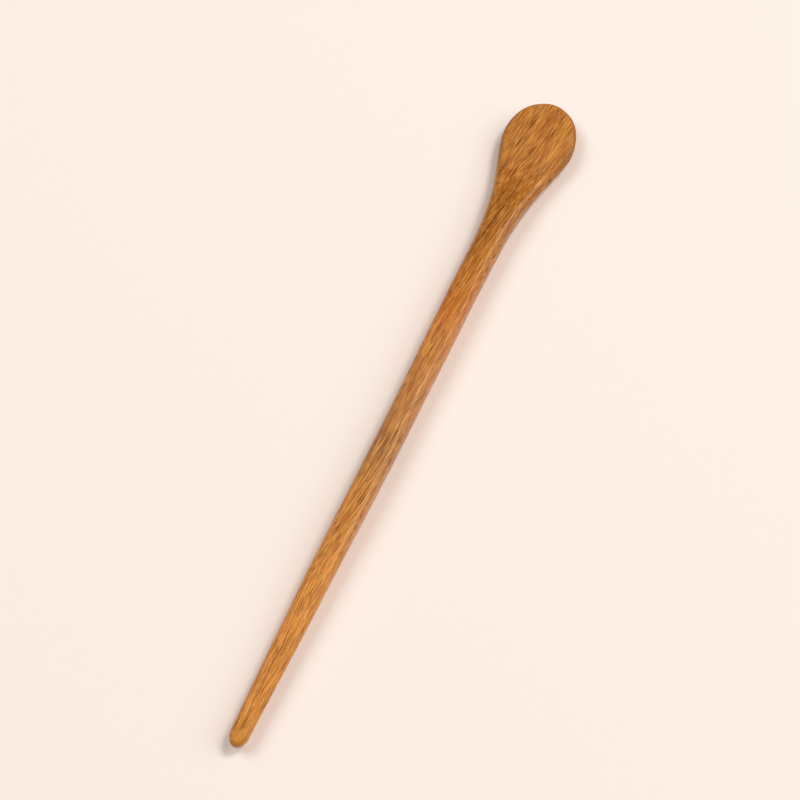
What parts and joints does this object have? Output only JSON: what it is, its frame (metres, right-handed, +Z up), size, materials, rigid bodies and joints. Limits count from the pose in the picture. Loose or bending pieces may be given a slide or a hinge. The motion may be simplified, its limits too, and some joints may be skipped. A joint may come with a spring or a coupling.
{
  "type": "hairpin",
  "caption": "One-piece carved wooden hairpin with a flat teardrop head and a straight shaft that thins to a rounded tip; pushed through a coil of hair to hold it.",
  "frame": {"origin": "below the middle of the pin's length, on the surface that it lies on", "axes": "+X from the tip to the head, +Y across the pin, +Z up out of the upper face"},
  "size_m": [0.18, 0.0182, 0.006],
  "materials": {
    "wood": "hand-sanded golden-brown hardwood with a satin wax finish"
  },
  "bodies": {
    "root": {"hairpin": "wood"}
  },
  "joints": []
}
